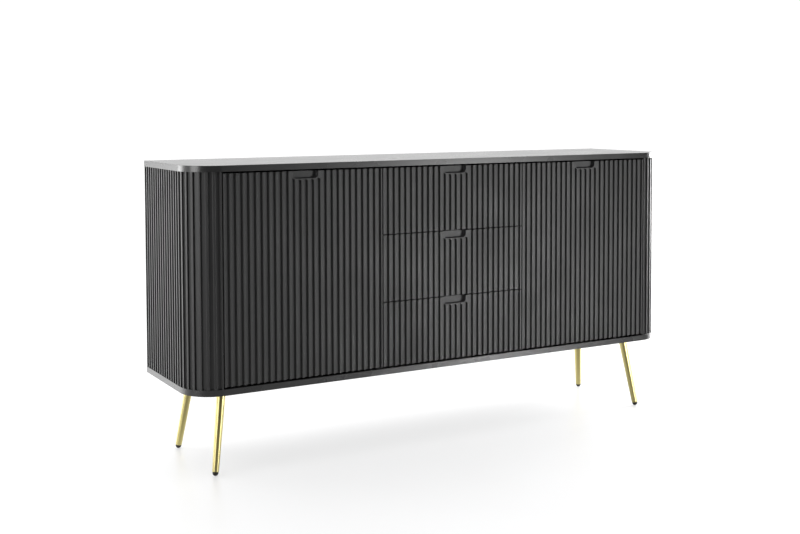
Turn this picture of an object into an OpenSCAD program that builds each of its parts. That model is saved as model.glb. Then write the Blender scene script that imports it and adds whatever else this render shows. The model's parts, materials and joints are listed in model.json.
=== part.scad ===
// Sideboard buffet with fluted fronts: two doors, three drawers, splayed legs.
// Origin: centre of the footprint, on the floor. The fronts face -Y and +Z is up.

/* [Overall size] */
// Width over the top panel
body_w = 1540; // [1400:10:1700]
// Depth over the top panel
body_d = 360; // [340:5:420]
// Height of the body, without the legs
body_h = 579; // [540:1:640]
// Clear height under the body
leg_h = 213; // [160:1:240]

/* [Boards] */
// Thickness of the carcase boards
board_t = 16; // [15:1:18]
// Thickness of the fluted fronts and corner panels
front_t = 20; // [19:1:22]
// Thickness of the back panels
back_t = 4; // [3:1:6]
// Radius of the top panel's two front corners
corner_r = 88; // [80:1:100]
// How far the top and bottom panels stand out past the fluted faces
overhang = 1.5; // [0:0.5:3]

/* [Fronts] */
// Gap between neighbouring fronts
gap = 3; // [2.6:0.1:4]
// Gap above and below the fronts
reveal = 4.5; // [3:0.5:6]
// Middle of the gap between corner panel and door, from the end of the body
door_gap_at = 86; // [84:1:88]
// Middle of the gap between door and drawers, from the end of the body
drawer_gap_at = 541.2; // [500:0.1:560]
// Heights of the drawer fronts as shares of the whole, lowest first
drawer_share = [174, 180, 178];

/* [Flutes] */
// Distance from one groove to the next
pitch = 18; // [16:0.5:18]
// Width of a groove
groove_w = 12; // [8:0.5:13]
// Depth of a groove
groove_d = 5.5; // [3:0.5:6]
// Grooves on each front
groove_count = 25; // [15:2:25]
// Grooves under the finger pocket that stop short of the top edge
short_grooves = 5; // [3:2:7]
// Distance from the top edge down to the round ends of the short grooves
short_stop = 22; // [21:1:30]
// How much higher the outer two short grooves end, beside the finger pocket's round corners
outer_rise = 3; // [0:0.5:4]

/* [Finger pockets] */
// Width of a finger pocket
pocket_w = 72; // [50:1:80]
// Height of a finger pocket
pocket_h = 19; // [15:1:20]
// Depth of a finger pocket
pocket_d = 12; // [8:0.5:13]
// Radius of the pocket's lower corners
pocket_r = 10; // [4:1:12]

/* [Legs] */
// Distance of a leg's top from the end of the body
leg_end = 105; // [95:1:140]
// Distance of a front leg's top from the front edge
leg_front = 73.5; // [70:0.5:100]
// Distance of a rear leg's top from the rear edge
leg_rear = 64.5; // [60:0.5:100]
// How far a leg leans out towards the end and towards the front or rear
splay = 30.6; // [10:0.1:34]
// Radius of a leg at its top
leg_top_r = 12.5; // [11:0.5:15]
// Radius of a leg just above its foot
leg_low_r = 8.5; // [8:0.1:10]
// Radius of the foot
foot_r = 7.75; // [6:0.25:8]

/* [Inside] */
// Length of the drawer runners
runner_l = 300; // [290:5:300]
// Height of a drawer side
box_h = 130; // [100:1:140]
// Height of the shelf's underside above the bottom panel
shelf_at = 266; // [150:1:350]

/* [Hidden] */

// Colours
black = [0.07, 0.07, 0.075];
inside_black = [0.12, 0.12, 0.125];
gold = [0.83, 0.69, 0.42];
steel = [0.70, 0.71, 0.72];
soft_clear = [0.75, 0.75, 0.72];

// Smoothness of round shapes
fine = 96;
round_fn = 48;

// Heights
floor_z = leg_h + board_t;            // top of the bottom panel
ceiling_z = leg_h + body_h - board_t; // underside of the top panel
fronts_z = floor_z + reveal;
fronts_h = ceiling_z - reveal - fronts_z;
inner_h = ceiling_z - floor_z;

// Plan
half_w = body_w / 2;
half_d = body_d / 2;
face_y = -half_d + overhang;          // outer face of the fronts
front_back_y = face_y + front_t;      // rear face of the fronts
shell_x = -half_w + overhang;         // outer face of the left corner panel
shell_r = corner_r - overhang;
arc_x = -half_w + corner_r;           // centre of the left corner's arcs
arc_y = -half_d + corner_r;
shell_end_x = -half_w + door_gap_at - gap / 2;
door_x0 = shell_end_x + gap;          // hinge edge of the left door
door_x1 = -half_w + drawer_gap_at - gap / 2;
door_w = door_x1 - door_x0;
drawer_w = 2 * (half_w - drawer_gap_at) - gap;
partition_x = -half_w + drawer_gap_at; // middle of the left partition
bay_x0 = shell_end_x;                 // inner face of the left inner side
bay_x1 = partition_x - board_t / 2;
well_x = half_w - drawer_gap_at - board_t / 2; // half the clear width for the drawers
boards_y1 = half_d - 6;               // rear edge of the inner boards
inner_side_y0 = arc_y - (shell_r - front_t) + 4;
partition_y0 = front_back_y + 1.5;

// Shelves and their pins
shelf_z = floor_z + shelf_at;
shelf_y0 = face_y + 48;
shelf_play = 1;
pin_r = 2.5;
pin_fit = 0.05;
pin_in = 8;
pin_out = 8;
pin_rows = [-90, 120];
pin_steps = [-64, -32, 0, 32, 64];

// Cam fittings that pull the boards together
cam_r = 7.4;
cam_deep = 12;
cam_from_end = 24;
cam_rows = [-110, 90];

// Hinges: an arm on the carcase reaches round the door's edge to a pin in the door
pivot_in = 23;                        // pivot behind the door's hinge edge
pivot_deep = 11;                      // pivot behind the door's face
pivot_x = door_x0 + pivot_in;
pivot_y = face_y + pivot_deep;
hinge_z = [fronts_z + 80, fronts_z + fronts_h - 80];
hinge_pin_r = 1.8;
running = 0.05;
knuckle_r = 3.6;
arm_t = 3;
arm_h = 12;
arm_reach = 25;                       // from the pivot back to the arm's cross part
mortise_front = 3.9;                  // mortise wall in front of the pivot
mortise_in = 21;                      // mortise end past the pivot
mortise_h = 18.6;
cheek_t = 2;
plate_t = 2.5;
plate_l = 46;
plate_h = 40;

// Legs
leg_tops = [
    [-half_w + leg_end, -half_d + leg_front],
    [half_w - leg_end, -half_d + leg_front],
    [-half_w + leg_end, half_d - leg_rear],
    [half_w - leg_end, half_d - leg_rear]
];
leg_lean = [[-1, -1], [1, -1], [-1, 1], [1, 1]];
leg_axis_l = sqrt(leg_h * leg_h + 2 * splay * splay);
leg_tilt = atan(splay * sqrt(2) / leg_h);
foot_h = 10;                          // bare height of the foot along the leg
plate_disc_r = 30;
plate_disc_t = 3;
stud_r = 4;
stud_l = 26;
screw_r = 1.8;
screw_l = 11;
screw_head_r = 3.4;
screw_head_t = 1.6;
screw_ring_r = 23;

// Drawers
rail_w = 13;                          // space for a runner on each side
box_t = 12;
box_x = well_x - rail_w;              // outer face of a drawer side
box_y1 = front_back_y + 310;
box_lift = 12;                        // drawer side above the front's lower edge
panel_t = 5;                          // drawer bottom
panel_lift = 10;
runner_y0 = front_back_y + 3;
sheet_t = 1.2;
share_sum = drawer_share[0] + drawer_share[1] + drawer_share[2];
fronts_clear = fronts_h - 2 * gap;

function drawer_h(i) = fronts_clear * drawer_share[i] / share_sum;
function drawer_z(i) = i == 0 ? fronts_z : drawer_z(i - 1) + drawer_h(i - 1) + gap;
function rail_z(i) = drawer_z(i) + box_lift + box_h / 2;
function groove_at(k) = (k - (groove_count - 1) / 2) * pitch;
function is_short(k) = abs(k - (groove_count - 1) / 2) < short_grooves / 2;
function is_outer(k) = is_short(k) && abs(k - (groove_count - 1) / 2) > short_grooves / 2 - 1;

// ---- plan outlines ----

// Outline of the top and bottom panels, with two round front corners
module slab_outline() {
    translate([-half_w, -half_d + corner_r]) square([body_w, body_d - corner_r]);
    translate([-half_w + corner_r, -half_d]) square([body_w - 2 * corner_r, corner_r + 1]);
    for (s = [-1, 1]) {
        translate([s * (half_w - corner_r), -half_d + corner_r]) circle(corner_r, $fn = fine);
    }
}

// A point on the left corner panel, s along its groove floors and d in from its outer face
floor_r = shell_r - groove_d;
arc_from = asin((arc_x - shell_end_x + 0.001) / shell_r);
arc_len = (90 - arc_from) * PI / 180 * floor_r;
shell_len = arc_len + half_d - arc_y;
function shell_angle(s) = arc_from + s / floor_r * 180 / PI;
function shell_point(s, d) = s < arc_len
    ? [arc_x - (shell_r - d) * sin(shell_angle(s)), arc_y - (shell_r - d) * cos(shell_angle(s))]
    : [shell_x + d, arc_y + s - arc_len];

// Middle of the first groove from the panel's front end
shell_first = (pitch + gap) / 2 * floor_r / shell_r;
shell_grooves = floor((shell_len - shell_first - groove_w / 2 - 2) / pitch) + 1;
inner_steps = 16;

function shell_groove(s) = [
    shell_point(s - groove_w / 2, 0),
    shell_point(s - groove_w / 2, groove_d),
    shell_point(s + groove_w / 2, groove_d),
    shell_point(s + groove_w / 2, 0)
];

module corner_outline() {
    outer = [
        [shell_end_x, face_y],
        for (k = [0 : shell_grooves - 1], p = shell_groove(shell_first + k * pitch)) p,
        [shell_x, half_d]
    ];
    inner = [
        [shell_x + front_t, half_d],
        for (k = [inner_steps : -1 : 1]) shell_point(arc_len * k / inner_steps - 0.01, front_t),
        [shell_end_x, front_back_y]
    ];
    polygon(concat(outer, inner));
}

// ---- fronts ----

function groove_points(c) = [
    [c - groove_w / 2, 0],
    [c - groove_w / 2, groove_d],
    [c + groove_w / 2, groove_d],
    [c + groove_w / 2, 0]
];

// Plan section of a front whose middle grooves are still left out
module comb_outline(w) {
    polygon([
        [-w / 2, 0],
        for (k = [0 : groove_count - 1]) if (!is_short(k)) for (p = groove_points(groove_at(k))) p,
        [w / 2, 0],
        [w / 2, front_t],
        [-w / 2, front_t]
    ]);
}

// Finger pocket seen from the front, its top edge at the front's top
module pocket_outline() {
    translate([-pocket_w / 2, -pocket_h + pocket_r]) square([pocket_w, pocket_h - pocket_r + 1]);
    translate([-pocket_w / 2 + pocket_r, -pocket_h]) square([pocket_w - 2 * pocket_r, pocket_h]);
    for (s = [-1, 1]) {
        translate([s * (pocket_w / 2 - pocket_r), -pocket_h + pocket_r])
            circle(pocket_r, $fn = round_fn);
    }
}

// Cuts a shape drawn in X and Z into the face at y = 0
module cut_into_face(deep) {
    translate([0, deep, 0]) rotate([90, 0, 0]) linear_extrude(deep + 1) children();
}

// Fluted front of width w and height h: face at y = 0, bottom edge at z = 0
module fluted_front(w, h) {
    difference() {
        linear_extrude(h) comb_outline(w);
        cut_into_face(groove_d) {
            for (k = [0 : groove_count - 1]) if (is_short(k)) {
                arch_z = h - short_stop - groove_w / 2 + (is_outer(k) ? outer_rise : 0);
                translate([groove_at(k) - groove_w / 2, -1]) square([groove_w, arch_z + 1]);
                translate([groove_at(k), arch_z]) circle(groove_w / 2, $fn = round_fn);
            }
        }
        translate([0, 0, h]) cut_into_face(pocket_d) pocket_outline();
    }
}

// ---- carcase ----

module top_panel() {
    color(black) translate([0, 0, ceiling_z]) linear_extrude(board_t) slab_outline();
}

// Places a screw hole or screw at each of the four spots round each leg's plate
module at_leg_screws() {
    for (top = leg_tops, a = [45 : 90 : 315]) {
        translate([top[0] + screw_ring_r * cos(a), top[1] + screw_ring_r * sin(a), leg_h]) children();
    }
}

module bottom_panel() {
    color(black) difference() {
        translate([0, 0, leg_h]) linear_extrude(board_t) slab_outline();
        at_leg_screws() translate([0, 0, -1]) cylinder(h = screw_l + 1.5, r = screw_r + pin_fit, $fn = 24);
    }
}

module left_corner_panel() {
    color(black) translate([0, 0, floor_z]) linear_extrude(inner_h) corner_outline();
}

module right_corner_panel() {
    mirror([1, 0, 0]) left_corner_panel();
}

// Shelf pin holes in a board's face at x; dir is the way into the board
module pin_holes(x, dir) {
    for (y = pin_rows, dz = pin_steps) {
        translate([x - dir, y, shelf_z - pin_r + dz]) rotate([0, 90 * dir, 0])
            cylinder(h = pin_in + 1.5, r = pin_r + pin_fit, $fn = 24);
    }
}

module at_cams(x, dir) {
    for (y = cam_rows, z = [floor_z + cam_from_end, ceiling_z - cam_from_end]) {
        translate([x, y, z]) rotate([0, 90 * dir, 0]) children();
    }
}

module cam_holes(x, dir) {
    at_cams(x, dir) translate([0, 0, -1]) cylinder(h = cam_deep + 1, r = cam_r + pin_fit, $fn = round_fn);
}

module left_inner_side() {
    color(inside_black) difference() {
        translate([bay_x0 - board_t, inner_side_y0, floor_z])
            cube([board_t, boards_y1 - inner_side_y0, inner_h]);
        pin_holes(bay_x0, -1);
        cam_holes(bay_x0, -1);
    }
}

module right_inner_side() {
    mirror([1, 0, 0]) left_inner_side();
}

module left_partition() {
    color(inside_black) difference() {
        translate([bay_x1, partition_y0, floor_z]) cube([board_t, boards_y1 - partition_y0, inner_h]);
        pin_holes(bay_x1, 1);
        cam_holes(bay_x1, 1);
    }
}

module right_partition() {
    mirror([1, 0, 0]) left_partition();
}

back_play = 0.5;

module left_back_panel() {
    x0 = shell_x + front_t;
    x1 = partition_x - back_play;
    color(inside_black) translate([x0, boards_y1, floor_z]) cube([x1 - x0, back_t, inner_h]);
}

module right_back_panel() {
    mirror([1, 0, 0]) left_back_panel();
}

module centre_back_panel() {
    w = 2 * (-partition_x - back_play);
    color(inside_black) translate([-w / 2, boards_y1, floor_z]) cube([w, back_t, inner_h]);
}

module left_shelf() {
    color(inside_black) translate([bay_x0 + shelf_play, shelf_y0, shelf_z])
        cube([bay_x1 - bay_x0 - 2 * shelf_play, boards_y1 - shelf_play - shelf_y0, board_t]);
}

module right_shelf() {
    mirror([1, 0, 0]) left_shelf();
}

module bay_pins() {
    for (y = pin_rows) {
        translate([bay_x0 - pin_in, y, shelf_z - pin_r]) rotate([0, 90, 0])
            cylinder(h = pin_in + pin_out, r = pin_r, $fn = 24);
        translate([bay_x1 - pin_out, y, shelf_z - pin_r]) rotate([0, 90, 0])
            cylinder(h = pin_in + pin_out, r = pin_r, $fn = 24);
    }
}

module shelf_pins() {
    color(steel) {
        bay_pins();
        mirror([1, 0, 0]) bay_pins();
    }
}

// One cam with a cross slot in its face, its face at z = 0
module cam() {
    slot_w = 1.6;
    slot_l = 9;
    slot_d = 2.5;
    difference() {
        cylinder(h = cam_deep - 0.2, r = cam_r, $fn = round_fn);
        for (a = [0, 90]) {
            rotate(a) translate([-slot_l / 2, -slot_w / 2, -1]) cube([slot_l, slot_w, slot_d + 1]);
        }
    }
}

module cam_fittings() {
    color(steel) for (s = [0, 1]) mirror([s, 0, 0]) {
        at_cams(bay_x0, -1) cam();
        at_cams(bay_x1, 1) cam();
    }
}

// ---- legs ----

// Frame of leg i: z along its axis from its top down to the floor
module leg_frame(i) {
    turn = atan2(leg_lean[i][1], leg_lean[i][0]);
    translate([leg_tops[i][0], leg_tops[i][1], leg_h]) rotate([0, 0, turn])
        rotate([0, 180 - leg_tilt, 0]) children();
}

// Half-space below the height z
module below(z) {
    size = 200;
    translate([-half_w - size, -half_d - size, z - 2 * size])
        cube([body_w + 2 * size, body_d + 2 * size, 2 * size]);
}

foot_line = leg_axis_l - foot_h;      // where the foot starts along the axis
foot_centre = leg_axis_l - foot_r / cos(leg_tilt);

module leg(i) {
    color(gold) difference() {
        intersection() {
            leg_frame(i) translate([0, 0, -10])
                cylinder(h = foot_line + 10, r1 = leg_top_r, r2 = leg_low_r, $fn = fine);
            below(leg_h - plate_disc_t);
        }
        leg_frame(i) translate([0, 0, -10])
            cylinder(h = stud_l + 11, r = stud_r + pin_fit, $fn = 32);
    }
}

// Foot: a short neck and a round end that touches the floor
module foot(i) {
    size = 4 * foot_r;
    color(black) leg_frame(i) intersection() {
        union() {
            translate([0, 0, foot_line]) cylinder(h = foot_centre - foot_line, r = foot_r, $fn = round_fn);
            translate([0, 0, foot_centre]) sphere(foot_r, $fn = round_fn);
        }
        translate([-size / 2, -size / 2, foot_line]) cube(size);
    }
}

module front_left_leg() { leg(0); }
module front_right_leg() { leg(1); }
module rear_left_leg() { leg(2); }
module rear_right_leg() { leg(3); }
module front_left_foot() { foot(0); }
module front_right_foot() { foot(1); }
module rear_left_foot() { foot(2); }
module rear_right_foot() { foot(3); }

// Round plate under the body with a leaning stud that the leg screws on to
module leg_plates() {
    color(steel) difference() {
        for (i = [0 : 3]) {
            translate([leg_tops[i][0], leg_tops[i][1], leg_h - plate_disc_t])
                cylinder(h = plate_disc_t, r = plate_disc_r, $fn = fine);
            intersection() {
                leg_frame(i) translate([0, 0, -5]) cylinder(h = stud_l + 5, r = stud_r, $fn = 32);
                below(leg_h - 0.5);
            }
        }
        at_leg_screws() translate([0, 0, -plate_disc_t - 1])
            cylinder(h = plate_disc_t + 2, r = screw_r + 0.3, $fn = 24);
    }
}

module leg_screws() {
    color(steel) at_leg_screws() {
        translate([0, 0, -plate_disc_t]) cylinder(h = plate_disc_t + screw_l, r = screw_r, $fn = 24);
        translate([0, 0, -plate_disc_t - screw_head_t])
            cylinder(h = screw_head_t, r = screw_head_r, $fn = 32);
    }
}

// ---- doors, drawn for the left one ----

module door() {
    color(black) difference() {
        translate([(door_x0 + door_x1) / 2, face_y, fronts_z]) fluted_front(door_w, fronts_h);
        for (z = hinge_z) {
            translate([door_x0 - 1, pivot_y - mortise_front, z - mortise_h / 2])
                cube([pivot_in + mortise_in + 1, front_t, mortise_h]);
        }
    }
}

// Bracket in the door's mortise: two cheeks that hold the pin, joined by a web
module hinge_brackets() {
    cheek_y0 = pivot_y - knuckle_r;
    cheek_y1 = front_back_y - 0.5;
    web_x = pivot_x + mortise_in - cheek_t;
    color(steel) for (z = hinge_z) difference() {
        union() {
            for (z0 = [z - mortise_h / 2, z + mortise_h / 2 - cheek_t]) {
                translate([pivot_x - knuckle_r, cheek_y0, z0])
                    cube([web_x + cheek_t - pivot_x + knuckle_r, cheek_y1 - cheek_y0, cheek_t]);
            }
            translate([web_x, cheek_y0, z - mortise_h / 2]) cube([cheek_t, cheek_y1 - cheek_y0, mortise_h]);
        }
        translate([pivot_x, pivot_y, z - mortise_h]) cylinder(h = 2 * mortise_h, r = hinge_pin_r, $fn = 32);
    }
}

module hinge_pins() {
    color(steel) for (z = hinge_z) {
        translate([pivot_x, pivot_y, z - mortise_h / 2])
            cylinder(h = mortise_h, r = hinge_pin_r, $fn = 32);
    }
}

// Arm: knuckle round the pin, straight back, across to the plate on the inner side
module hinge_arms() {
    cross_y = pivot_y + arm_reach;
    color(steel) for (z = hinge_z) {
        difference() {
            union() {
                translate([pivot_x, pivot_y, z - arm_h / 2]) cylinder(h = arm_h, r = knuckle_r, $fn = 32);
                translate([pivot_x - arm_t / 2, pivot_y, z - arm_h / 2])
                    cube([arm_t, arm_reach + arm_t, arm_h]);
                translate([bay_x0, cross_y, z - arm_h / 2])
                    cube([pivot_x + arm_t / 2 - bay_x0, arm_t, arm_h]);
                translate([bay_x0, cross_y, z - plate_h / 2]) cube([plate_t, plate_l, plate_h]);
            }
            translate([pivot_x, pivot_y, z - arm_h])
                cylinder(h = 2 * arm_h, r = hinge_pin_r + running, $fn = 32);
        }
    }
}

// Clear dots that the door closes on
module bumpers() {
    dot_r = 2.6;
    dot_t = 1.3;
    color(soft_clear) for (z = [fronts_z + 12, fronts_z + fronts_h - 12]) {
        translate([door_x1 - dot_r - 0.6, front_back_y, z]) rotate([-90, 0, 0])
            cylinder(h = dot_t, r = dot_r, $fn = 32);
    }
}

module left_door() { door(); }
module left_hinge_brackets() { hinge_brackets(); }
module left_hinge_pins() { hinge_pins(); }
module left_hinge_arms() { hinge_arms(); }
module left_bumpers() { bumpers(); }
module right_door() { mirror([1, 0, 0]) door(); }
module right_hinge_brackets() { mirror([1, 0, 0]) hinge_brackets(); }
module right_hinge_pins() { mirror([1, 0, 0]) hinge_pins(); }
module right_hinge_arms() { mirror([1, 0, 0]) hinge_arms(); }
module right_bumpers() { mirror([1, 0, 0]) bumpers(); }

// ---- drawers, i = 0 lowest ----

module drawer_front(i) {
    color(black) translate([0, face_y, drawer_z(i)]) fluted_front(drawer_w, drawer_h(i));
}

module drawer_side(i) {
    color(inside_black) translate([-box_x, front_back_y, drawer_z(i) + box_lift])
        cube([box_t, box_y1 - front_back_y, box_h]);
}

module drawer_back(i) {
    w = 2 * (box_x - box_t);
    color(inside_black) translate([-w / 2, box_y1 - box_t, drawer_z(i) + box_lift])
        cube([w, box_t, box_h]);
}

module drawer_bottom(i) {
    w = 2 * (box_x - box_t);
    color(inside_black) translate([-w / 2, front_back_y, drawer_z(i) + box_lift + panel_lift])
        cube([w, box_y1 - box_t - front_back_y, panel_t]);
}

// Channel along Y, web at x = 0 and lips towards +X: half-height h, lip length lip
module channel(h, lip) {
    translate([0, runner_y0, -h]) cube([sheet_t, runner_l, 2 * h]);
    for (z = [-h, h - sheet_t]) {
        translate([0, runner_y0, z]) cube([lip, runner_l, sheet_t]);
    }
}

fixed_half = 22.5;
middle_half = 19;
inner_half = 15;

module both_sides() {
    children();
    mirror([1, 0, 0]) children();
}

module fixed_runners(i) {
    color(steel) both_sides() translate([-well_x, 0, rail_z(i)]) channel(fixed_half, 9);
}

module middle_runners(i) {
    color(steel) both_sides() translate([-well_x + 4, 0, rail_z(i)]) channel(middle_half, 7);
}

module drawer_runners(i) {
    color(steel) both_sides() translate([-box_x, 0, rail_z(i)]) mirror([1, 0, 0]) channel(inner_half, 5.5);
}

module lower_drawer_front() { drawer_front(0); }
module lower_drawer_left_side() { drawer_side(0); }
module lower_drawer_right_side() { mirror([1, 0, 0]) drawer_side(0); }
module lower_drawer_back() { drawer_back(0); }
module lower_drawer_bottom() { drawer_bottom(0); }
module lower_drawer_runners() { drawer_runners(0); }
module lower_middle_runners() { middle_runners(0); }
module lower_fixed_runners() { fixed_runners(0); }
module middle_drawer_front() { drawer_front(1); }
module middle_drawer_left_side() { drawer_side(1); }
module middle_drawer_right_side() { mirror([1, 0, 0]) drawer_side(1); }
module middle_drawer_back() { drawer_back(1); }
module middle_drawer_bottom() { drawer_bottom(1); }
module middle_drawer_runners() { drawer_runners(1); }
module middle_middle_runners() { middle_runners(1); }
module middle_fixed_runners() { fixed_runners(1); }
module upper_drawer_front() { drawer_front(2); }
module upper_drawer_left_side() { drawer_side(2); }
module upper_drawer_right_side() { mirror([1, 0, 0]) drawer_side(2); }
module upper_drawer_back() { drawer_back(2); }
module upper_drawer_bottom() { drawer_bottom(2); }
module upper_drawer_runners() { drawer_runners(2); }
module upper_middle_runners() { middle_runners(2); }
module upper_fixed_runners() { fixed_runners(2); }

top_panel();
bottom_panel();
left_corner_panel();
right_corner_panel();
left_inner_side();
right_inner_side();
left_partition();
right_partition();
left_back_panel();
centre_back_panel();
right_back_panel();
left_shelf();
right_shelf();
shelf_pins();
cam_fittings();
front_left_leg();
front_right_leg();
rear_left_leg();
rear_right_leg();
front_left_foot();
front_right_foot();
rear_left_foot();
rear_right_foot();
leg_plates();
leg_screws();
left_door();
left_hinge_brackets();
left_hinge_pins();
left_hinge_arms();
left_bumpers();
right_door();
right_hinge_brackets();
right_hinge_pins();
right_hinge_arms();
right_bumpers();
lower_drawer_front();
lower_drawer_left_side();
lower_drawer_right_side();
lower_drawer_back();
lower_drawer_bottom();
lower_drawer_runners();
lower_middle_runners();
lower_fixed_runners();
middle_drawer_front();
middle_drawer_left_side();
middle_drawer_right_side();
middle_drawer_back();
middle_drawer_bottom();
middle_drawer_runners();
middle_middle_runners();
middle_fixed_runners();
upper_drawer_front();
upper_drawer_left_side();
upper_drawer_right_side();
upper_drawer_back();
upper_drawer_bottom();
upper_drawer_runners();
upper_middle_runners();
upper_fixed_runners();
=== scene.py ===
"""Sideboard buffet: its looks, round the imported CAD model. Sizes are in mm unless a comment says so."""
import json
import math

import bmesh
import bpy
from mathutils import Matrix, Vector

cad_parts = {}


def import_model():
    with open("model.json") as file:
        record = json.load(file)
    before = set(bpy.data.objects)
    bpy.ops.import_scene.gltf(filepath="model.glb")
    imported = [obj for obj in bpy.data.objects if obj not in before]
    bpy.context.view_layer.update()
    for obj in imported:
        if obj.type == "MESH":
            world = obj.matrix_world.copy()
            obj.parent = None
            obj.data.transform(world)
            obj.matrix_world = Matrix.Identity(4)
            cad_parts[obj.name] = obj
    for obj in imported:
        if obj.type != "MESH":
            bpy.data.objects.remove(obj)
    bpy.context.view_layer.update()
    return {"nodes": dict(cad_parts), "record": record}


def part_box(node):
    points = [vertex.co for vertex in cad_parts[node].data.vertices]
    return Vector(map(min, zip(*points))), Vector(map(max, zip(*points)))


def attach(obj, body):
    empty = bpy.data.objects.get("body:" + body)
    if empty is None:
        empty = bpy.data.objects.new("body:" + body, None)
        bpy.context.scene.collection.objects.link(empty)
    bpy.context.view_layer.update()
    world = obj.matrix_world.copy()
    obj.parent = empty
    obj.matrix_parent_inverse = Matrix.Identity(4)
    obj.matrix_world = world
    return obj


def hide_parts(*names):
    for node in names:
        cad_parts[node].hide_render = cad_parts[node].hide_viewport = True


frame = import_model()
nodes = frame["nodes"]
MM = 0.001


# ---------------------------------------------------------------- driving sizes

def span(node):
    """A CAD node's lowest and highest corner in millimetres."""
    low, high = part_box(node)
    return low / MM, high / MM


TOP_CORNER = span("top_panel")[1]
HALF_W = TOP_CORNER.x
HALF_D = TOP_CORNER.y
LEG_HEIGHT = span("bottom_panel")[0].z

# Top and bottom panels
SLAB_RADIUS = 88
REAR_RADIUS = 2.0
SLAB_EDGE = 0.5

# Grooves, as milled into the fronts and the corner panels
PITCH = 18
GROOVE_HALF = 6
GROOVE_DEPTH = 5.5
GROOVE_COUNT = 25
SHORT_GROOVES = 5
SHORT_STOP = 22
OUTER_RISE = 3
RIM_RADIUS = 0.9
FLOOR_RADIUS = 1.6
FRONT_THICK = 20
FRONT_GAP = 3
EDGE_RADIUS = 0.5
CORNER_EASE = 0.3
LAST_RIB = 2

# Finger pocket
POCKET_W = 72
POCKET_H = 19
POCKET_DEPTH = 12
POCKET_RADIUS = 10
POCKET_RIM_RADIUS = 0.8
POCKET_FLOOR_RADIUS = 2.5

# Mortises for the hinges in a door's back
MORTISE_W = 44
MORTISE_FRONT = 7.1
MORTISE_H = 18.6
HINGE_FROM_END = 80

# Legs: a cone that starts CONE_RISE above the body's underside and is cut level at its plate
LEG_SPLAY = 30.6
LEG_TOP_RADIUS = 12.5
LEG_LOW_RADIUS = 8.5
LEG_PLATE = 3
LEG_LIP = 1.2
LEG_STATIONS = (6.0, 30, 80, 130, 180)
CONE_RISE = 10
LEG_AXIS = math.hypot(LEG_HEIGHT, LEG_SPLAY * math.sqrt(2))
LEG_TILT = math.atan(LEG_SPLAY * math.sqrt(2) / LEG_HEIGHT)

# Foot tips: distances run down the leg's axis
FOOT_RADIUS = 7.75
FOOT_BARE = 10
FOOT_LINE = LEG_AXIS - FOOT_BARE
NECK_RADIUS = FOOT_RADIUS - 0.6
NECK_END = 0.5
SHOULDER = 0.9
TIP_RADIUS = 0.15

# Steps in the curves
RIM_STEPS = 5
EDGE_STEPS = 4
REAR_STEPS = 4
ARCH_STEPS = 24
POCKET_STEPS = 12
SLAB_STEPS = 40
BEND_STEPS = 24
DOME_STEPS = 16
LEG_SIDES = 96
FOOT_SIDES = 64


# ---------------------------------------------------------------- mesh helpers

SAME_DIGITS = 4
SHARP_DEG = 35
LEG_SHARP_DEG = 50


class Shell:
    """Collects points and faces; points that agree to SAME_DIGITS decimals are shared."""

    def __init__(self):
        self.points, self.faces, self.known = [], [], {}

    def point(self, p):
        key = tuple(round(c, SAME_DIGITS) for c in p)
        if key not in self.known:
            self.known[key] = len(self.points)
            self.points.append(Vector(p) * MM)
        return self.known[key]

    def face(self, corners):
        loop = [self.point(p) for p in corners]
        loop = [a for i, a in enumerate(loop) if a != loop[i - 1]]
        if len(loop) > 2:
            self.faces.append(loop)

    def strip(self, first, second):
        """Quads between two rows of points."""
        for i in range(len(first) - 1):
            self.face([first[i], first[i + 1], second[i + 1], second[i]])

    def tube(self, first, second):
        """Quads between two closed rows of points."""
        self.strip(list(first) + [first[0]], list(second) + [second[0]])

    def hollow(self, rows):
        """Strips from each row down to the next, and a floor over the last."""
        for first, second in zip(rows, rows[1:]):
            self.strip(first, second)
        self.face(rows[-1])

    def piece(self, name, body, slot, replaced, sharp_deg=SHARP_DEG):
        """Makes the finished object, which rides on its body and stands for the replaced nodes."""
        mesh = bpy.data.meshes.new(name)
        mesh.from_pydata(self.points, [], self.faces)
        mesh.validate()
        turn_outwards(mesh)
        mesh.polygons.foreach_set("use_smooth", [True] * len(mesh.polygons))
        mesh.set_sharp_from_angle(angle=math.radians(sharp_deg))
        mesh.materials.append(SLOT_MATERIAL[slot])
        obj = bpy.data.objects.new(name, mesh)
        bpy.context.scene.collection.objects.link(obj)
        modifier = obj.modifiers.new("flat_faces", "WEIGHTED_NORMAL")
        modifier.keep_sharp = True
        modifier.weight = 100
        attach(obj, body)
        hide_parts(*replaced)


def turn_outwards(mesh):
    """Turns every face outwards."""
    work = bmesh.new()
    work.from_mesh(mesh)
    bmesh.ops.recalc_face_normals(work, faces=work.faces)
    work.to_mesh(mesh)
    work.free()


def quarter(steps):
    """Angles from 0 to a right angle, both included."""
    return [math.pi / 2 * i / steps for i in range(steps + 1)]


def arc(cx, cy, radius, start_deg, end_deg, steps):
    """Points on an arc, both ends included."""
    made = []
    for i in range(steps + 1):
        a = math.radians(start_deg + (end_deg - start_deg) * i / steps)
        made.append((cx + radius * math.cos(a), cy + radius * math.sin(a)))
    return made


# ---------------------------------------------------------------- shader nodes

def new_material(name):
    material = bpy.data.materials.new(name)
    material.use_nodes = True
    tree = material.node_tree
    return material, tree, tree.nodes["Principled BSDF"]


def add(tree, kind, **settings):
    node = tree.nodes.new(kind)
    for key, value in settings.items():
        setattr(node, key, value)
    return node


def noise(tree, coords, scale, detail, roughness=0.5):
    node = add(tree, "ShaderNodeTexNoise")
    node.inputs["Scale"].default_value = scale
    node.inputs["Detail"].default_value = detail
    node.inputs["Roughness"].default_value = roughness
    tree.links.new(coords, node.inputs["Vector"])
    return node.outputs["Fac"]


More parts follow.
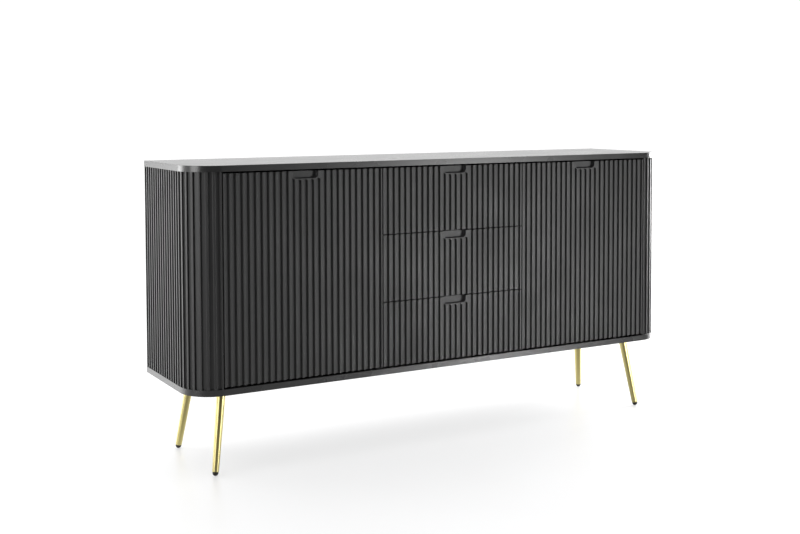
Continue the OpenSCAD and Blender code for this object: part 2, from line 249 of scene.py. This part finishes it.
def ramp(tree, value, low, high, from_low=0.0, from_high=1.0):
    """Runs from low to high while the value runs from from_low to from_high."""
    node = add(tree, "ShaderNodeMapRange")
    node.inputs["From Min"].default_value = from_low
    node.inputs["From Max"].default_value = from_high
    node.inputs["To Min"].default_value = low
    node.inputs["To Max"].default_value = high
    tree.links.new(value, node.inputs["Value"])
    return node.outputs["Result"]


def total(tree, first, second):
    node = add(tree, "ShaderNodeMath", operation="ADD")
    tree.links.new(first, node.inputs[0])
    tree.links.new(second, node.inputs[1])
    return node.outputs["Value"]


def mix(tree, kind, factor, first, second):
    """First where the factor is 0, second where it is 1. Each is a plain value or an output."""
    node = add(tree, "ShaderNodeMix", data_type=kind)
    for name, given in (("A", first), ("B", second)):
        if isinstance(given, bpy.types.NodeSocket):
            tree.links.new(given, node.inputs[name])
        else:
            node.inputs[name].default_value = given
    tree.links.new(factor, node.inputs["Factor"])
    return node.outputs["Result"]


def mix_colour(tree, factor, first, second):
    return mix(tree, "RGBA", factor, (*first, 1), (*second, 1))


def camera_ray(tree):
    """1 for what the camera sees, 0 for what lights or is mirrored in the object."""
    return add(tree, "ShaderNodeLightPath").outputs["Is Camera Ray"]


def object_coords(tree, scale=(1, 1, 1)):
    coords = add(tree, "ShaderNodeTexCoord")
    mapping = add(tree, "ShaderNodeMapping")
    mapping.inputs["Scale"].default_value = scale
    tree.links.new(coords.outputs["Object"], mapping.inputs["Vector"])
    return mapping.outputs["Vector"]


def bump(tree, shader, height, depth):
    node = add(tree, "ShaderNodeBump")
    node.inputs["Strength"].default_value = 1.0
    node.inputs["Distance"].default_value = depth * MM
    tree.links.new(height, node.inputs["Height"])
    tree.links.new(node.outputs["Normal"], shader.inputs["Normal"])


# ---------------------------------------------------------------- materials

# Noise seldom leaves this range, so roughness is spread over it
NOISE_LOW = 0.3
NOISE_HIGH = 0.7
PEEL_DEPTH = 0.02
PORE_DEPTH = 0.05
SPARK_DEPTH = 0.03


def lacquer(name, dark, light, rough_low, rough_high):
    """Sprayed satin lacquer: fine orange peel, faint cloudiness in gloss and tone."""
    material, tree, shader = new_material(name)
    coords = object_coords(tree)
    cloud = noise(tree, coords, scale=9, detail=3)
    peel = noise(tree, coords, scale=900, detail=2)
    rough = ramp(tree, cloud, rough_low, rough_high, NOISE_LOW, NOISE_HIGH)
    tree.links.new(mix_colour(tree, cloud, dark, light), shader.inputs["Base Color"])
    tree.links.new(rough, shader.inputs["Roughness"])
    bump(tree, shader, peel, PEEL_DEPTH)
    return material


def board(name, dark, light, rough_low, rough_high):
    """Melamine board: fine pressed grain that runs along X."""
    material, tree, shader = new_material(name)
    grain = noise(tree, object_coords(tree, (25, 400, 400)), scale=1, detail=4, roughness=0.6)
    pores = noise(tree, object_coords(tree), scale=1500, detail=2)
    rough = ramp(tree, grain, rough_low, rough_high, NOISE_LOW, NOISE_HIGH)
    tree.links.new(mix_colour(tree, grain, dark, light), shader.inputs["Base Color"])
    tree.links.new(rough, shader.inputs["Roughness"])
    bump(tree, shader, pores, PORE_DEPTH)
    return material


def metal(name, dark, light, rough_low, rough_high, line_scale, line_depth):
    """Plated metal: faint tone drift and fine drawn lines."""
    material, tree, shader = new_material(name)
    shader.inputs["Metallic"].default_value = 1.0
    cloud = noise(tree, object_coords(tree), scale=14, detail=3)
    lines = noise(tree, object_coords(tree, line_scale), scale=1, detail=3)
    rough = ramp(tree, lines, rough_low, rough_high, NOISE_LOW, NOISE_HIGH)
    tree.links.new(mix_colour(tree, cloud, dark, light), shader.inputs["Base Color"])
    tree.links.new(rough, shader.inputs["Roughness"])
    bump(tree, shader, lines, line_depth)
    return material


def plastic(name, dark, light, rough_low, rough_high):
    """Moulded plastic with a fine spark-eroded grain."""
    material, tree, shader = new_material(name)
    grain = noise(tree, object_coords(tree), scale=2500, detail=2)
    cloud = noise(tree, object_coords(tree), scale=60, detail=2)
    tree.links.new(mix_colour(tree, cloud, dark, light), shader.inputs["Base Color"])
    tree.links.new(ramp(tree, grain, rough_low, rough_high), shader.inputs["Roughness"])
    bump(tree, shader, grain, SPARK_DEPTH)
    return material


# For each slot: maker, darker and lighter tone, lowest and highest roughness, then any drawn lines
FINISHES = {
    "flute_lacquer": (lacquer, (0.017, 0.017, 0.0172), (0.021, 0.021, 0.0212), 0.48, 0.54),
    "panel_lacquer": (lacquer, (0.018, 0.018, 0.0182), (0.022, 0.022, 0.0222), 0.26, 0.30),
    "inner_board": (board, (0.016, 0.016, 0.017), (0.026, 0.026, 0.027), 0.45, 0.6),
    "back_board": (board, (0.014, 0.014, 0.015), (0.022, 0.022, 0.023), 0.55, 0.7),
    "gold_plate": (metal, (0.46, 0.40, 0.165), (0.52, 0.455, 0.21), 0.32, 0.38, (600, 600, 12), 0.004),
    "zinc_steel": (metal, (0.55, 0.56, 0.58), (0.66, 0.67, 0.69), 0.28, 0.42, (500, 6, 500), 0.01),
    "nickel_steel": (metal, (0.62, 0.60, 0.57), (0.70, 0.68, 0.65), 0.2, 0.3, (300, 300, 300), 0.01),
    "foot_plastic": (plastic, (0.007, 0.005, 0.003), (0.012, 0.009, 0.006), 0.6, 0.7),
    "clear_rubber": (plastic, (0.55, 0.55, 0.52), (0.65, 0.65, 0.62), 0.25, 0.4),
}
SLOT_MATERIAL = {slot: make(slot, *look) for slot, (make, *look) in FINISHES.items()}


# ---------------------------------------------------------------- groove and pocket sections

def half_section(half, depth, rim, floor):
    """Offsets from a groove's middle and depths, from the rim's outer edge down to the floor."""
    points = []
    for a in quarter(RIM_STEPS):
        points.append((half + rim - rim * math.sin(a), rim - rim * math.cos(a)))
    for a in quarter(RIM_STEPS):
        points.append((half - floor + floor * math.cos(a), depth - floor + floor * math.sin(a)))
    return points


GROOVE = half_section(GROOVE_HALF, GROOVE_DEPTH, RIM_RADIUS, FLOOR_RADIUS)
GROOVE_RIM = GROOVE[0][0]
GROOVE_FLOOR = GROOVE[-1][0]
POCKET = half_section(0, POCKET_DEPTH, POCKET_RIM_RADIUS, POCKET_FLOOR_RADIUS)
POCKET_RIM = POCKET[0][0]

# Groove middles, from a front's middle
MIDDLES = [(k - (GROOVE_COUNT - 1) / 2) * PITCH for k in range(GROOVE_COUNT)]
SHORT = [m for m in MIDDLES if abs(m) < SHORT_GROOVES / 2 * PITCH]
FULL = [m for m in MIDDLES if m not in SHORT]
LEFT_FULL = [m for m in FULL if m < 0]
RIGHT_FULL = [m for m in FULL if m > 0]


def whole_section(half_points, half_width, middle=0):
    """Offsets and depths from left rim to right rim, with the floor's width between the halves."""
    left = [(middle - half_width - o, d) for o, d in half_points]
    right = [(middle + half_width + o, d) for o, d in reversed(half_points)]
    return left + right


def groove_row(middle):
    """A groove's whole section, left rim to right rim."""
    return whole_section(GROOVE, 0, middle)


def edge_row(x, side):
    """The rounded outer edge of a front, from the face to the side."""
    return [(x - side * EDGE_RADIUS * (1 - math.sin(a)), EDGE_RADIUS * (1 - math.cos(a)))
            for a in quarter(EDGE_STEPS)]


def arch_height(middle, height):
    """Centre of a short groove's round end; the outer two reach higher, beside the pocket's corners."""
    rise = OUTER_RISE if middle in (SHORT[0], SHORT[-1]) else 0
    return height - SHORT_STOP - GROOVE_HALF + rise


def short_path(middle, offset, height):
    """Up one side of a short groove, over its round end and down the other side."""
    over = arc(middle, arch_height(middle, height), offset, 180, 0, ARCH_STEPS)
    return [(middle - offset, 0)] + over + [(middle + offset, 0)]


def pocket_path(offset, height):
    """Down the left side of the pocket, along its foot and up the right side."""
    half = POCKET_W / 2
    centre_z = height - POCKET_H + POCKET_RADIUS
    radius = POCKET_RADIUS + offset
    left = arc(-half + POCKET_RADIUS, centre_z, radius, 180, 270, POCKET_STEPS)
    right = arc(half - POCKET_RADIUS, centre_z, radius, 270, 360, POCKET_STEPS)
    return [(-half - offset, height)] + left + right + [(half + offset, height)]


# ---------------------------------------------------------------- fluted fronts

class Front:
    """A fluted front in the space of its CAD node. hinge_side is -1 or +1 on a door, 0 on a drawer."""

    def __init__(self, node, hinge_side):
        low, high = span(node)
        self.shell = Shell()
        self.middle, self.face_y, self.foot = (low.x + high.x) / 2, low.y, low.z
        self.half = (high.x - low.x) / 2
        self.thick = high.y - low.y
        self.height = high.z - low.z
        self.hinge_side = hinge_side
        centres = [HINGE_FROM_END, self.height - HINGE_FROM_END] if hinge_side else []
        self.mortises = [(z - MORTISE_H / 2, z + MORTISE_H / 2) for z in centres]

    def at(self, x, depth, z):
        """A point: x from the middle, depth behind the face, z above the foot."""
        return (self.middle + x, self.face_y + depth, self.foot + z)

    def on(self, depth, path):
        """A path of x and z, laid at one depth."""
        return [self.at(x, depth, z) for x, z in path]

    def level(self, z, row):
        """A row of x and depth, laid at one height."""
        return [self.at(x, d, z) for x, d in row]

    def upright(self, row):
        """Quads over the whole height, along a row of x and depth."""
        self.shell.strip(self.level(0, row), self.level(self.height, row))

    def full_grooves(self):
        """Grooves that run the full height, the ribs between them and the rounded outer edges."""
        for m in FULL:
            self.upright(groove_row(m))
        for left, right in zip(FULL, FULL[1:]):
            if right - left == PITCH:
                self.upright([(left + GROOVE_RIM, 0), (right - GROOVE_RIM, 0)])
        self.upright([(-self.half + EDGE_RADIUS, 0), (FULL[0] - GROOVE_RIM, 0)])
        self.upright([(FULL[-1] + GROOVE_RIM, 0), (self.half - EDGE_RADIUS, 0)])
        for side in (-1, 1):
            self.upright(edge_row(side * self.half, side))

    def middle_field(self):
        """Short grooves with round ends, the finger pocket, and the flat face round them all."""
        height = self.height
        for m in SHORT:
            self.shell.hollow([self.on(d, short_path(m, o, height)) for o, d in GROOVE])
        self.shell.hollow([self.on(d, pocket_path(o, height)) for o, d in POCKET])
        left = LEFT_FULL[-1] + GROOVE_RIM
        outline = [(left, 0)]
        for m in SHORT:
            outline += short_path(m, GROOVE_RIM, height)
        outline += [(-left, 0), (-left, height)]
        outline += reversed(pocket_path(POCKET_RIM, height))
        outline += [(left, height)]
        self.shell.face(self.on(0, outline))

    def ends(self):
        """Foot and head; at the head the pocket takes the place of the short grooves."""
        foot_cuts = [groove_row(m) for m in MIDDLES]
        head_cuts = [groove_row(m) for m in LEFT_FULL]
        head_cuts += [whole_section(POCKET, POCKET_W / 2)]
        head_cuts += [groove_row(m) for m in RIGHT_FULL]
        for z, cuts in ((0, foot_cuts), (self.height, head_cuts)):
            row = edge_row(-self.half, -1)[::-1]
            for cut in cuts:
                row += cut
            row += edge_row(self.half, 1) + [(self.half, self.thick), (-self.half, self.thick)]
            self.shell.face(self.level(z, row))

    def sides(self):
        """Outer sides; the mortises open on the hinge side."""
        for side in (-1, 1):
            edge = [(EDGE_RADIUS, 0), (self.thick, 0)]
            for low, high in self.mortises if side == self.hinge_side else []:
                edge += [(self.thick, low), (MORTISE_FRONT, low), (MORTISE_FRONT, high), (self.thick, high)]
            edge += [(self.thick, self.height), (EDGE_RADIUS, self.height)]
            self.shell.face([self.at(side * self.half, d, z) for d, z in edge])

    def back(self):
        """The back, and the walls of the mortises cut into it."""
        outer = (self.hinge_side or -1) * self.half
        inner = self.hinge_side * (self.half - MORTISE_W)
        outline = [(outer, 0)]
        for low, high in self.mortises:
            mouth = [(outer, low), (inner, low), (inner, high), (outer, high)]
            outline += mouth
            depths = (MORTISE_FRONT, self.thick)
            for z in (low, high):
                row = [(outer, depths[0]), (inner, depths[0]), (inner, depths[1]), (outer, depths[1])]
                self.shell.face(self.level(z, row))
            self.shell.face(self.on(MORTISE_FRONT, mouth))
            wall = [(depths[0], low), (depths[1], low), (depths[1], high), (depths[0], high)]
            self.shell.face([self.at(inner, d, z) for d, z in wall])
        outline += [(outer, self.height), (-outer, self.height), (-outer, 0)]
        self.shell.face(self.on(self.thick, outline))


def fluted_front(name, node, body, hinge_side=0):
    front = Front(node, hinge_side)
    front.full_grooves()
    front.middle_field()
    front.ends()
    front.sides()
    front.back()
    front.shell.piece(name, body, "flute_lacquer", [node])


# ---------------------------------------------------------------- corner panels

def corner_row(first, length):
    """Distances along a corner panel's groove floors and depths, from its front end to its back."""
    row = [(0.0, EDGE_RADIUS), (CORNER_EASE, CORNER_EASE), (EDGE_RADIUS, 0.0)]
    s = first
    while s + GROOVE_HALF + LAST_RIB < length:
        groove = groove_row(s)
        floor = [(s + GROOVE_FLOOR * f, GROOVE_DEPTH) for f in (-0.5, 0, 0.5)]
        if row[-1][0] < groove[0][0] - 1:
            row.append(((row[-1][0] + groove[0][0]) / 2, 0.0))
        row += groove[:len(GROOVE)] + floor + groove[len(GROOVE):]
        s += PITCH
    return row + [(length, 0.0)]


def corner_panel(name, node, side):
    """Fluted side that wraps round the front corner. side is -1 on the left and +1 on the right."""
    low, high = span(node)
    outer_x = high.x if side > 0 else -low.x
    end_x = low.x if side > 0 else -high.x
    overhang = HALF_W - outer_x
    radius = SLAB_RADIUS - overhang
    floor_radius = radius - GROOVE_DEPTH
    arc_x, arc_y = HALF_W - SLAB_RADIUS, -HALF_D + SLAB_RADIUS
    start = math.asin((end_x - arc_x) / radius)
    bend = (math.pi / 2 - start) * floor_radius
    length = bend + HALF_D - arc_y

    def plan(s, d):
        """A point s along the groove floors and d in from the outer face, for the right side."""
        if s < bend:
            a = start + s / floor_radius
            return (arc_x + (radius - d) * math.sin(a), arc_y - (radius - d) * math.cos(a))
        return (outer_x - d, arc_y + s - bend)

    first = (PITCH + FRONT_GAP) / 2 * floor_radius / radius
    outer = [plan(s, d) for s, d in corner_row(first, length)]
    inner = [plan(length, FRONT_THICK)]
    just_under = 0.01
    inner += [plan(bend * i / BEND_STEPS - just_under, FRONT_THICK) for i in range(BEND_STEPS, 0, -1)]
    inner.append((end_x, -HALF_D + overhang + FRONT_THICK))
    outline = [(side * x, y) for x, y in outer + inner]
    shell = Shell()
    lower = [(x, y, low.z) for x, y in outline]
    upper = [(x, y, high.z) for x, y in outline]
    shell.tube(lower, upper)
    shell.face(lower)
    shell.face(upper)
    shell.piece(name, "root", "flute_lacquer", [node])


# ---------------------------------------------------------------- top and bottom panels

def slab_outline(inset):
    """Outline of the panels, two round front corners and two nearly square rear ones."""
    x, y = HALF_W - inset, HALF_D - inset
    front = SLAB_RADIUS - inset
    rear = REAR_RADIUS - inset
    cx, cy = HALF_W - SLAB_RADIUS, -HALF_D + SLAB_RADIUS
    points = arc(x - rear, y - rear, rear, 0, 90, REAR_STEPS)
    points += arc(-x + rear, y - rear, rear, 90, 180, REAR_STEPS)
    points += arc(-cx, cy, front, 180, 270, SLAB_STEPS)
    points += arc(cx, cy, front, 270, 360, SLAB_STEPS)
    return points


def slab(name, node):
    """A board with eased edges, built up from its underside."""
    low, high = span(node)
    levels = [(SLAB_EDGE * (1 - math.sin(a)), low.z + SLAB_EDGE * (1 - math.cos(a)))
              for a in quarter(EDGE_STEPS)]
    levels += [(inset, high.z + low.z - z) for inset, z in reversed(levels)]
    rows = [[(x, y, z) for x, y in slab_outline(inset)] for inset, z in levels]
    shell = Shell()
    for first, second in zip(rows, rows[1:]):
        shell.tube(first, second)
    shell.face(rows[0])
    shell.face(rows[-1])
    shell.piece(name, "root", "panel_lacquer", [node])


# ---------------------------------------------------------------- legs

def leg_matrix(node, foot_node):
    """Frame of a leg: z along its axis, from the body's underside down to the floor."""
    low, high = span(node)
    foot_low, foot_high = span(foot_node)
    centre = (foot_low + foot_high) / 2
    sx = 1 if centre.x > (low.x + high.x) / 2 else -1
    sy = 1 if centre.y > (low.y + high.y) / 2 else -1
    lift = (FOOT_RADIUS / math.cos(LEG_TILT)) / LEG_AXIS
    top = Vector((centre.x - sx * LEG_SPLAY, centre.y - sy * LEG_SPLAY, LEG_HEIGHT))
    top += Vector((sx, sy, 0)) * LEG_SPLAY * lift
    turn = Matrix.Rotation(math.atan2(sy, sx), 4, "Z")
    tip = Matrix.Rotation(math.pi - LEG_TILT, 4, "Y")
    return Matrix.Translation(top) @ turn @ tip


def turned(shell, matrix, profile, sides):
    """A turned shape from (radius, distance along the axis), open at both ends. Gives its rings."""
    rows = []
    for radius, along in profile:
        ring = arc(0, 0, radius, 0, 360 - 360 / sides, sides - 1)
        rows.append([tuple(matrix @ Vector((x, y, along))) for x, y in ring])
    for first, second in zip(rows, rows[1:]):
        shell.tube(first, second)
    return rows


def leg_tube(place, matrix):
    """A tapered tube, cut level against its plate, with a rolled lip at the foot."""
    taper = (LEG_TOP_RADIUS - LEG_LOW_RADIUS) / (FOOT_LINE + CONE_RISE)
    lip_line = FOOT_LINE - LEG_LIP
    profile = [(LEG_TOP_RADIUS - taper * (a + CONE_RISE), a) for a in LEG_STATIONS + (lip_line,)]
    low = profile[-1][0]
    profile += [(low - LEG_LIP * (1 - math.cos(a)), lip_line + LEG_LIP * math.sin(a))
                for a in quarter(RIM_STEPS)[1:]]
    shell = Shell()
    rows = turned(shell, matrix, profile, LEG_SIDES)
    axis = (matrix.to_3x3() @ Vector((0, 0, 1))).normalized()
    cut_z = LEG_HEIGHT - LEG_PLATE
    cut = [tuple(Vector(p) + axis * ((cut_z - p[2]) / axis.z)) for p in rows[0]]
    shell.tube(cut, rows[0])
    shell.face(cut)
    shell.face(rows[-1])
    shell.piece(f"{place}_leg_tube", "root", "gold_plate", [f"{place}_leg"], LEG_SHARP_DEG)


def foot_tip(place, matrix):
    """A short neck under the tube, then a domed tip."""
    centre = LEG_AXIS - FOOT_RADIUS / math.cos(LEG_TILT)
    profile = [(NECK_RADIUS, FOOT_LINE), (NECK_RADIUS, FOOT_LINE + NECK_END)]
    profile.append((FOOT_RADIUS, FOOT_LINE + SHOULDER))
    for a in quarter(DOME_STEPS):
        profile.append((max(FOOT_RADIUS * math.cos(a), TIP_RADIUS), centre + FOOT_RADIUS * math.sin(a)))
    shell = Shell()
    rows = turned(shell, matrix, profile, FOOT_SIDES)
    shell.face(rows[0])
    shell.face(rows[-1])
    shell.piece(f"{place}_foot_tip", "root", "foot_plastic", [f"{place}_foot"], LEG_SHARP_DEG)


# ---------------------------------------------------------------- carried-over CAD nodes

WELD_REACH = 0.01
SOFT_EDGE = 0.3
SOFT_ANGLE_DEG = 40


def dress(node, slot):
    """Gives a CAD node its material and softened edges."""
    obj = nodes[node]
    obj.data.materials.clear()
    obj.data.materials.append(SLOT_MATERIAL[slot])
    weld = obj.modifiers.new("weld", "WELD")
    weld.merge_threshold = WELD_REACH * MM
    soften = obj.modifiers.new("soften", "BEVEL")
    soften.width = SOFT_EDGE * MM
    soften.segments = 2
    soften.limit_method = "ANGLE"
    soften.angle_limit = math.radians(SOFT_ANGLE_DEG)


# ---------------------------------------------------------------- build

for side_name, side in (("left", -1), ("right", 1)):
    fluted_front(f"{side_name}_door_leaf", f"{side_name}_door", f"{side_name}_door_leaf", side)
    corner_panel(f"{side_name}_corner_wrap", f"{side_name}_corner_panel", side)
for level in ("lower", "middle", "upper"):
    fluted_front(f"{level}_drawer_face", f"{level}_drawer_front", f"{level}_drawer")
slab("top_slab", "top_panel")
slab("bottom_slab", "bottom_panel")
for place in ("front_left", "front_right", "rear_left", "rear_right"):
    leg_frame = leg_matrix(f"{place}_leg", f"{place}_foot")
    leg_tube(place, leg_frame)
    foot_tip(place, leg_frame)

for part in frame["record"]["subparts"]:
    if not nodes[part["node"]].hide_render:
        dress(part["node"], part["material_slot"])


# ---------------------------------------------------------------- stage and lights, in metres

# What the object sees: a room dark in front, bright behind and overhead. Bands are directions, 0 to 1.
ROOM_FRONT = 0.015
ROOM_BACK = 1.35
ROOM_UP = 1.5
ROOM_BACK_BAND = (0.0, 0.4)
ROOM_UP_BAND = (0.4, 0.9)

# The floor lights the object from below, by how far back it lies. Bands are places along Y.
FLOOR_BOUNCE = 0.10
FLOOR_FAR = 0.02
FLOOR_NEAR = 0.3
FLOOR_BACK = 1.5
FLOOR_NEAR_BAND = (-2.2, -1.6)
FLOOR_BACK_BAND = (-0.1, 0.6)

# What the camera sees: a white backdrop and a nearly white floor
BACKDROP = 1.1
FLOOR_GLOW = 0.46
FLOOR_DARK = (0.34, 0.34, 0.342)
FLOOR_LIGHT = (0.36, 0.36, 0.362)
FLOOR_ROUGHNESS = 0.35
FLOOR_SPECULAR = 0.25
FLOOR_HALF = 14.0


def floor():
    """Floor that looks nearly white to the camera and lights the object as a dimmer one would."""
    mesh = bpy.data.meshes.new("studio_floor")
    corners = [(sx * FLOOR_HALF, sy * FLOOR_HALF, 0) for sx, sy in ((-1, -1), (1, -1), (1, 1), (-1, 1))]
    mesh.from_pydata(corners, [], [(0, 1, 2, 3)])
    obj = bpy.data.objects.new("studio_floor", mesh)
    bpy.context.scene.collection.objects.link(obj)
    material, tree, shader = new_material("studio_floor")
    soft = noise(tree, object_coords(tree), scale=3, detail=2)
    seen = mix_colour(tree, soft, FLOOR_DARK, FLOOR_LIGHT)
    base = mix(tree, "RGBA", camera_ray(tree), (FLOOR_BOUNCE, FLOOR_BOUNCE, FLOOR_BOUNCE, 1), seen)
    tree.links.new(base, shader.inputs["Base Color"])
    shader.inputs["Roughness"].default_value = FLOOR_ROUGHNESS
    shader.inputs["Specular IOR Level"].default_value = FLOOR_SPECULAR
    shader.inputs["Emission Color"].default_value = (1, 1, 1, 1)
    split = add(tree, "ShaderNodeSeparateXYZ")
    tree.links.new(object_coords(tree), split.inputs["Vector"])
    near = ramp(tree, split.outputs["Y"], FLOOR_FAR, FLOOR_NEAR, *FLOOR_NEAR_BAND)
    behind = ramp(tree, split.outputs["Y"], 0.0, FLOOR_BACK, *FLOOR_BACK_BAND)
    glow = mix(tree, "FLOAT", camera_ray(tree), total(tree, near, behind), FLOOR_GLOW)
    tree.links.new(glow, shader.inputs["Emission Strength"])
    mesh.materials.append(material)


def world():
    """White backdrop; the objects see it dark from the camera's side, and bright from behind."""
    made = bpy.data.worlds.new("studio")
    bpy.context.scene.world = made
    made.use_nodes = True
    tree = made.node_tree
    background = tree.nodes["Background"]
    coords = add(tree, "ShaderNodeTexCoord")
    split = add(tree, "ShaderNodeSeparateXYZ")
    tree.links.new(coords.outputs["Generated"], split.inputs["Vector"])
    behind = ramp(tree, split.outputs["Y"], ROOM_FRONT, ROOM_BACK, *ROOM_BACK_BAND)
    overhead = ramp(tree, split.outputs["Z"], 0.0, ROOM_UP, *ROOM_UP_BAND)
    strength = mix(tree, "FLOAT", camera_ray(tree), total(tree, behind, overhead), BACKDROP)
    background.inputs["Color"].default_value = (1, 1, 1, 1)
    tree.links.new(strength, background.inputs["Strength"])


def softbox(name, place, aim, width, height, watts):
    data = bpy.data.lights.new(name, "AREA")
    data.shape = "RECTANGLE"
    data.size = width
    data.size_y = height
    data.energy = watts
    obj = bpy.data.objects.new(name, data)
    bpy.context.scene.collection.objects.link(obj)
    obj.location = place
    obj.rotation_euler = (Vector(aim) - Vector(place)).to_track_quat("-Z", "Y").to_euler()
    obj.visible_camera = False


# ---------------------------------------------------------------- camera, in metres and degrees

CAMERA_PLACE = Vector((-1.7531, -2.9269, 0.9458))
CAMERA_YAW = 29.858
CAMERA_PITCH = 3.0
CAMERA_ROLL = -0.141
CAMERA_SHIFT = -0.1279
CAMERA_SENSOR = 36
CAMERA_LENS = 52.94


def camera():
    """Three-quarter view from the front left, looking slightly down, with a little lens shift."""
    data = bpy.data.cameras.new("studio_camera")
    obj = bpy.data.objects.new("studio_camera", data)
    bpy.context.scene.collection.objects.link(obj)
    bpy.context.scene.camera = obj
    data.sensor_width = CAMERA_SENSOR
    data.lens = CAMERA_LENS
    data.shift_y = CAMERA_SHIFT
    data.clip_end = 100
    turn = Matrix.Rotation(-math.radians(CAMERA_YAW), 4, "Z")
    pitch = Matrix.Rotation(math.pi / 2 - math.radians(CAMERA_PITCH), 4, "X")
    roll = Matrix.Rotation(math.radians(CAMERA_ROLL), 4, "Z")
    look = turn @ pitch @ roll
    obj.matrix_world = Matrix.Translation(CAMERA_PLACE) @ look


floor()
world()
softbox("key", place=(1.70, -2.60, 0.20), aim=(0.0, -0.2, 0.4), width=0.26, height=0.26, watts=43)
softbox("right_fill", place=(2.9, 0.3, 0.9), aim=(0.77, -0.1, 0.5), width=1.6, height=1.6, watts=150)
softbox("back_left", place=(-2.8, 2.3, 0.6), aim=(-0.77, 0.0, 0.4), width=1.6, height=1.4, watts=50)
softbox("left_fill", place=(-3.1, -0.75, 0.8), aim=(-0.77, -0.1, 0.5), width=1.2, height=1.2, watts=34)
camera()
bpy.context.scene.view_settings.view_transform = "Standard"
